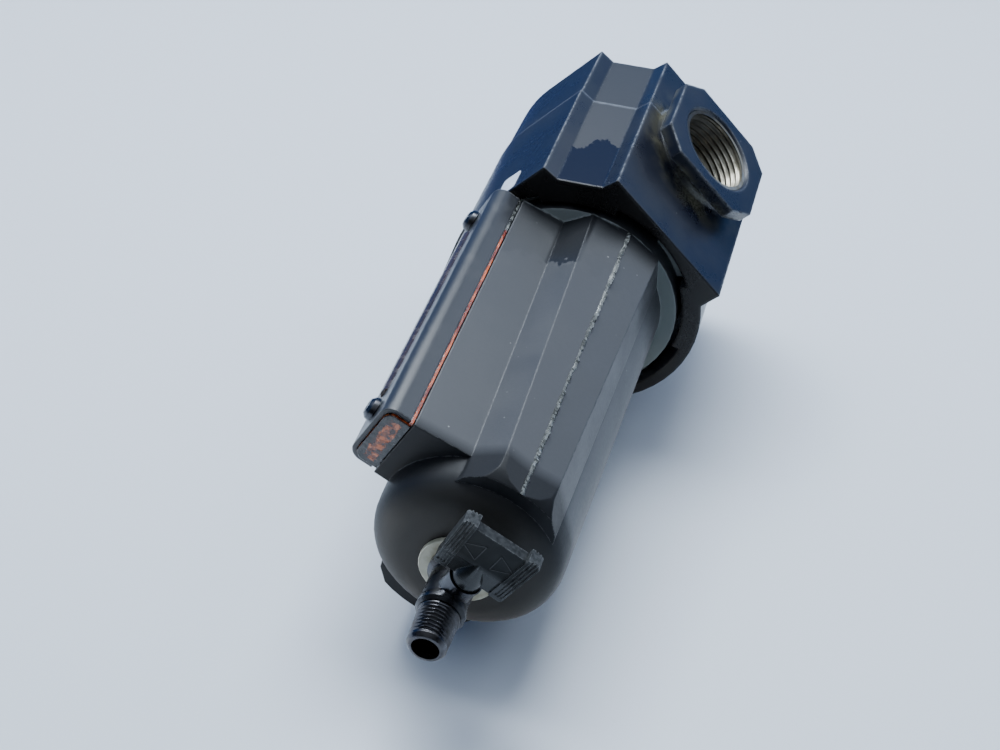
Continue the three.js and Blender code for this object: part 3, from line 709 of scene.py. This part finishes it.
def threaded(low, high, low_crest, high_crest, pitch, depth, steps_per_pitch=8):
    """Rings of a rounded screw thread whose crests taper from low to high; depth is outward."""
    count = round((high - low) / pitch * steps_per_pitch)
    rings = []
    for i in range(count + 1):
        share = i / count
        height = low + (high - low) * share
        crest = low_crest + (high_crest - low_crest) * share
        fade = max(0.0, min(1.0, (height - low) / pitch, (high - height) / pitch))
        rings.append(circle(crest, height, depth * fade, height / pitch))
    return rings


# ---------------------------------------------------------------- the CAD model's own pieces

ROUNDING = {  # of each node's edges, in mm
    "head_casting": 1.0,
    "bowl_shell": 0.5,
    "gauge_cover": 0.25,
    "gauge_lens": 0.3,
    "gauge_screw_upper": 0.25,
    "gauge_screw_lower": 0.25,
    "drain_handle": 0.3,
    "drain_body": 0.3,
    "drain_washer": 0.4,
}
SMALL_ROUNDING = 0.15
CREASE = {"bowl_shell": 16, "head_casting": 14}  # the least fold that is rounded, in degrees
USUAL_CREASE = 33

FACET_AREA = 60 * MM ** 2  # the least area of a face in one of the bowl's long side facets
FACET_LEAN = 0.3  # the most that such a face looks up or down
FACET_REACH = 34 * MM  # the least distance of its middle from the axis, at the collar
FACET_TAPER = 3 * MM  # and how much less that is at the bottom
FACET_GAP, FACET_FOLD = 10 * MM, math.radians(22)  # faces nearer and flatter are one facet


def facet_middle(face):
    """A face's middle in the bowl's own directions, or None if it isn't in a long side facet."""
    middle = TO_BOWL @ face.center
    if face.area < FACET_AREA or abs(face.normal.z) > FACET_LEAN:
        return None
    if not SHELL_LOW.z < middle.z < COLLAR_LOW:
        return None
    share = (COLLAR_LOW - middle.z) / (COLLAR_LOW - SHELL_LOW.z)
    return middle if middle.xy.length >= FACET_REACH - FACET_TAPER * share else None


def same_facet(facet, middle, normal):
    same_half = facet["middle"].y * middle.y > 0
    close = (facet["middle"].xy - middle.xy).length < FACET_GAP
    return same_half and close and facet["normal"].angle(normal) < FACET_FOLD


def flat_facets(mesh):
    """Shades each of the bowl's long side facets as flat, though its corners are a little twisted."""
    facets = []
    for face in mesh.polygons:
        middle = facet_middle(face)
        if middle is None:
            continue
        facet = next((known for known in facets if same_facet(known, middle, face.normal)), None)
        if facet is None:
            facet = {"middle": middle, "normal": face.normal.copy(), "total": Vector(), "faces": []}
            facets.append(facet)
        facet["total"] += face.normal * face.area
        facet["faces"].append(face)

    normals = [corner.vector.copy() for corner in mesh.corner_normals]
    for facet in facets:
        for face in facet["faces"]:
            for corner in face.loop_indices:
                normals[corner] = facet["total"].normalized()
    mesh.normals_split_custom_set(normals)


def refined(node):
    """Stands for a CAD node: the same shape with its sharp edges rounded."""
    mesh = welded(frame["nodes"][node].data)
    mesh.polygons.foreach_set("use_smooth", [True] * len(mesh.polygons))
    bevel = {
        "width": ROUNDING.get(node, SMALL_ROUNDING) * MM,
        "segments": 2,
        "limit_method": "ANGLE",
        "angle_limit": math.radians(CREASE.get(node, USUAL_CREASE)),
    }
    mesh = applied(mesh, ("BEVEL", bevel), ("WEIGHTED_NORMAL", {"weight": 50, "keep_sharp": True}))
    if node == "bowl_shell":
        flat_facets(mesh)
    part = next(part for part in frame["record"]["subparts"] if part["node"] == node)
    body = frame["nodes"][node]["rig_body"]
    piece = new_piece(node + "_skin", mesh, body, part["material_slot"], smooth_angle=None)
    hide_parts(node)


# ---------------------------------------------------------------- added pieces


def port_threads():
    """The inside thread of each port, a thin ring of bare metal whose crests stand in the bore."""
    pitch, crest, depth, outside = 2.309 * MM, 15.0 * MM, 1.15 * MM, 16.3 * MM
    start, end = PORT_FACE - 19 * MM, PORT_FACE - 0.9 * MM
    rings = threaded(start, end, crest, crest, pitch, depth)
    rings += [circle(outside, end), circle(outside, start)]
    for name, side in (("outlet", 1), ("inlet", -1)):
        to_port = Matrix.Translation((0, 0, PORT_Z)) @ Matrix.Rotation(side * math.pi / 2, 4, "Y")
        mesh = swept([[to_port @ point for point in ring] for ring in rings], loop=True)
        new_piece(name + "_thread", mesh, "head", "machined_metal", "thread_metal", 60)


def drain_nipple():
    """The drain's outlet: a plain sleeve inside the valve, then a tapering pipe thread."""
    pitch, depth, sleeve, bore = 1.337 * MM, -0.8 * MM, 5.4 * MM, 4.3 * MM
    thin, thick = 6.05 * MM, 6.55 * MM  # the thread's radius at the tip and at the shoulder
    tip, shoulder, top = NIPPLE_LOW.z, DRAIN_BODY_LOW - 0.4 * MM, NIPPLE_HIGH.z
    plain = 1.2 * MM  # the length of the tip without a thread
    first_crest = thin + (thick - thin) * plain / (shoulder - tip)
    rings = [circle(bore, tip), circle(thin - 1.0 * MM, tip), circle(thin - 0.7 * MM, tip + 0.3 * MM)]
    rings += threaded(tip + plain, shoulder, first_crest, thick, pitch, depth)
    rings += [circle(sleeve, shoulder), circle(sleeve, top), circle(bore, top)]
    mesh = swept(rings, loop=True)
    piece = new_piece("drain_nipple_thread", mesh, "bowl", "dark_steel", "nipple_steel", 60)
    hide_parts("drain_nipple")


def casting_flash():
    """A thin ragged fin of flash along both parting lines, whose height and lean wander."""
    dice = random.Random(5)
    step, sunk, half_tip = 0.45 * MM, 0.45 * MM, 0.35 * MM
    lowest, highest, most_lean, usual_half = 0.2, 1.0, 0.45, 0.95  # mm
    for name, side in (("right", 1), ("left", -1)):
        outward = BOWL_X * side
        top, bottom = (outward * x + UP * z for x, z in (PARTING_TOP, PARTING_BOTTOM))
        count = round((top - bottom).length / step)
        rings = []
        height, lean = 0.4, 0.0
        for i in range(count + 1):
            middle = top.lerp(bottom, i / count)
            height = min(highest, max(lowest, height + dice.uniform(-0.4, 0.4)))
            lean = min(most_lean, max(-most_lean, lean + dice.uniform(-0.3, 0.3)))
            taper = min(1.0, i / 4, (count - i) / 4)
            half = (usual_half + dice.uniform(-0.35, 0.25)) * MM
            tip = middle + outward * height * taper * MM + BOWL_Y * lean * MM
            root = middle - outward * sunk
            rings.append([
                root - BOWL_Y * half,
                tip - BOWL_Y * half_tip,
                tip + BOWL_Y * half_tip,
                root + BOWL_Y * half,
            ])
        new_piece(name + "_casting_flash", swept(rings), "bowl", "bowl_paint", "casting_flash", 20)


def lens_edge():
    """The oily squeezed-out edge of the lens, in the gap between the boss and the cover."""
    dice = random.Random(11)
    steps, margin, overhang, uneven = 60, 0.5 * MM, 1.35 * MM, 0.15 * MM
    low, high = LENS_LOW.z + margin, LENS_HIGH.z - margin
    inner = LENS_X[1] - 1 * MM
    back, front = LENS_Y[1] - 0.05 * MM, LENS_Y[1] - 1.05 * MM
    rings = []
    for i in range(steps + 1):
        outer = LENS_X[1] + overhang + dice.uniform(-uneven, uneven)
        crown = (outer + 0.2 * MM, (back + front) / 2)
        section = [(inner, back), (outer, back), crown, (outer, front), (inner, front)]
        height = low + (high - low) * i / steps
        rings.append([BOWL_X * x + BOWL_Y * y + UP * height for x, y in section])
    new_piece("lens_edge", swept(rings), "bowl", "lens_plastic", smooth_angle=50)


def pale_front_sheet():
    """A thin pale-blue sheet with rounded corners on the head's front; its corner shows just above
    the gauge.
    """
    faces = [face.vertices for face in frame["nodes"]["head_casting"].data.polygons]
    head = BVHTree.FromPolygons(places("head_casting"), faces)
    middle, half, corner, columns = 8.4 * MM, 4.2 * MM, 1.4 * MM, 24
    low, high = HEAD_LOW.z + 1.4 * MM, HEAD_LOW.z + 12.8 * MM
    thickness = BACK * 0.14 * MM
    rings = []
    for i in range(columns + 1):
        across = -half * math.cos(math.pi * i / columns)
        from_corner = corner - min(corner, half - abs(across))
        shorter = corner - math.sqrt(corner ** 2 - from_corner ** 2)
        starts = [(middle + across, 2 * HEAD_LOW.y, z) for z in (low + shorter, high - shorter)]
        bottom, top = (head.ray_cast(Vector(start), BACK)[0] for start in starts)
        rings.append([bottom, top, top - thickness, bottom - thickness])
    new_piece("pale_front_sheet", swept(rings), "head", "head_paint", "pale_blue_sheet", 50)


def triangle_sides(middle, radius, point_turn, half_line):
    """The three sides of a triangle as flat strips, each given by its four corners."""
    turns = [point_turn + 2 * math.pi * k / 3 for k in range(3)]
    points = [middle + Vector((math.cos(turn), math.sin(turn))) * radius for turn in turns]
    strips = []
    for k in range(3):
        start, end = points[k], points[(k + 1) % 3]
        side = (end - start).normalized() * half_line
        out = Vector((side.y, -side.x))
        strips.append([start - out - side, end - out + side, end + out + side, start + out - side])
    return strips


def handle_marks():
    """Two thin raised triangles on each face of the handle, which show the way of flow."""
    from_stem, apart, radius, half_line = 25.5 * MM, 4.6 * MM, 4.1 * MM, 0.14 * MM
    blade_half, sunk, proud = 1.7 * MM, 0.05 * MM, 0.12 * MM
    strips = []
    for side in (-1, 1):
        middle = Vector((from_stem, side * apart))
        strips += triangle_sides(middle, radius, side * math.pi / 2, half_line)
    for name, face in (("lower", -1), ("upper", 1)):
        heights = [STEM_Z + face * level for level in (blade_half - sunk, blade_half + proud)]
        lines = [
            [[FROM_BOWL @ Vector((*point, z)) for point in strip] for z in heights]
            for strip in strips
        ]
        new_piece(name + "_handle_marks", swept(*lines), "cock", "handle_plastic", "mark_plastic")


for node_name in sorted(frame["nodes"]):
    if node_name != "drain_nipple":
        refined(node_name)
port_threads()
drain_nipple()
casting_flash()
lens_edge()
pale_front_sheet()
handle_marks()

# ---------------------------------------------------------------- stage

BENCH_NORMAL = Vector((0.6847, -0.7288, 0.1)).normalized()  # the filter lies on its left rear side
WALL_LOW, WALL_HIGH = 0.1, 0.16  # where reflections see the bench turn into the wall behind it


def bench_material():
    """Pale and rough, and not there when seen from behind. Reflections see it end at a blue wall,
    which makes the black paint look dark."""
    pale = bpy.data.materials.new("bench")
    bench = Nodes(pale)
    place = bench.node("ShaderNodeNewGeometry").outputs
    ray = bench.node("ShaderNodeLightPath").outputs
    height = bench.vector("DOT_PRODUCT", place["Position"], UP)["Value"]
    is_bench = bench.math("MAXIMUM", bench.step(height, WALL_HIGH, WALL_LOW), ray["Is Camera Ray"])
    shader = bench.tree.nodes["Principled BSDF"]
    color = bench.mix(is_bench, (0.002, 0.022, 0.1), (0.62, 0.67, 0.73))
    bench.connect(shader.inputs["Base Color"], color)
    bench.connect(shader.inputs["Roughness"], 0.55)
    gone = bench.math("MAXIMUM", place["Backfacing"], ray["Is Shadow Ray"])
    bench.show("Material Output", gone, shader, bench.node("ShaderNodeBsdfTransparent"))
    return pale


def support(direction):
    """The place along a direction where the shown object begins."""
    return min(
        (piece.matrix_world @ vertex.co).dot(direction)
        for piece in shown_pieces() if piece.type == "MESH"
        for vertex in piece.data.vertices
    )


def add_floor():
    """A very large plane that the object lies against."""
    half_side, sunk = 60.0, 0.2 * MM
    turn = BENCH_NORMAL.to_track_quat("Z", "Y").to_matrix()
    lift = BENCH_NORMAL * (support(BENCH_NORMAL) - sunk)
    square = [Vector((x, y, 0)) * half_side for x, y in ((-1, -1), (1, -1), (1, 1), (-1, 1))]
    mesh = mesh_from([turn @ corner + lift for corner in square], [(0, 1, 2, 3)])
    mesh.materials.append(bench_material())
    floor = bpy.data.objects.new("floor", mesh)
    bpy.context.scene.collection.objects.link(floor)
    floor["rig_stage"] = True


def add_camera():
    """The photograph's view, from below on the front right. Gives the picture's right and up."""
    aim, distance = Vector((-5.84, -10.62, -140.72)) * MM, 569.18 * MM
    heading, rise, roll = math.radians(151.212), math.radians(47.729), math.radians(23.883)
    level = Vector((math.cos(heading), math.sin(heading), 0))
    forward = level * math.cos(rise) + UP * math.sin(rise)
    right = Matrix.Rotation(-roll, 3, forward) @ forward.cross(UP).normalized()
    up = right.cross(forward)

    lens = bpy.data.cameras.new("camera")
    lens.lens = 60.69
    lens.sensor_width = 36
    lens.clip_start = 0.01
    camera = bpy.data.objects.new("camera", lens)
    turn = Matrix((right, up, -forward)).transposed().to_4x4()
    camera.matrix_world = Matrix.Translation(aim - forward * distance) @ turn
    bpy.context.scene.collection.objects.link(camera)
    bpy.context.scene.camera = camera
    return right, up


def add_world(back):
    """Pale where the camera looks. Reflections see a bright ceiling over the bench, a blue wall
    behind it and a dark room in front."""
    world = bpy.data.worlds.new("room")
    room = Nodes(world)
    way = room.node("ShaderNodeTexCoord").outputs["Generated"]
    behind = room.step(room.vector("DOT_PRODUCT", way, back)["Value"], -0.2, 0.4)
    overhead = room.step(room.vector("DOT_PRODUCT", way, BENCH_NORMAL)["Value"], 0.55, 0.85)
    walls = room.mix(behind, (0.03, 0.035, 0.045), (0.05, 0.2, 0.6))
    color = room.mix(overhead, walls, (0.75, 0.85, 1.0))
    reflected = room.node("ShaderNodeBackground", {"Color": color, "Strength": 1.0})
    seen = room.node("ShaderNodeBackground", {"Color": (0.72, 0.77, 0.84, 1), "Strength": 0.8})
    to_camera = room.node("ShaderNodeLightPath").outputs["Is Camera Ray"]
    room.show("World Output", to_camera, reflected, seen)
    bpy.context.scene.world = world


def softbox(name, offset, size, power, color=(1, 1, 1)):
    """A soft rectangular lamp at an offset from the object's middle, turned toward it."""
    middle = UP * (HEAD_HIGH.z + SHELL_LOW.z) / 2
    light = bpy.data.lights.new(name, "AREA")
    light.shape = "RECTANGLE"
    light.size, light.size_y = size
    light.energy = power
    light.color = color
    lamp = bpy.data.objects.new(name, light)
    lamp.location = middle + offset
    lamp.rotation_euler = (-offset).to_track_quat("-Z", "Y").to_euler()
    bpy.context.scene.collection.objects.link(lamp)


def add_lights(right, back):
    over, cool = BENCH_NORMAL, (0.84, 0.92, 1)
    softbox("overhead", over * 1.1 + back * 0.45, (1.0, 0.6), 30, cool)
    softbox("from_left", over * 0.9 - right * 0.6 + back * 0.4, (0.5, 0.7), 2, cool)
    softbox("from_right", over * 0.6 + right * 0.8 + back * 0.4, (0.5, 0.6), 2.5, cool)
    softbox("behind", UP * 0.3 - over * 0.8, (0.7, 0.7), 9)
    softbox("behind_left", over * -0.5 - right * 0.6, (0.5, 0.6), 5)


add_floor()
view_right, view_up = add_camera()
bench_back = (view_up - BENCH_NORMAL * view_up.dot(BENCH_NORMAL)).normalized()
add_world(bench_back)
add_lights(view_right, bench_back)
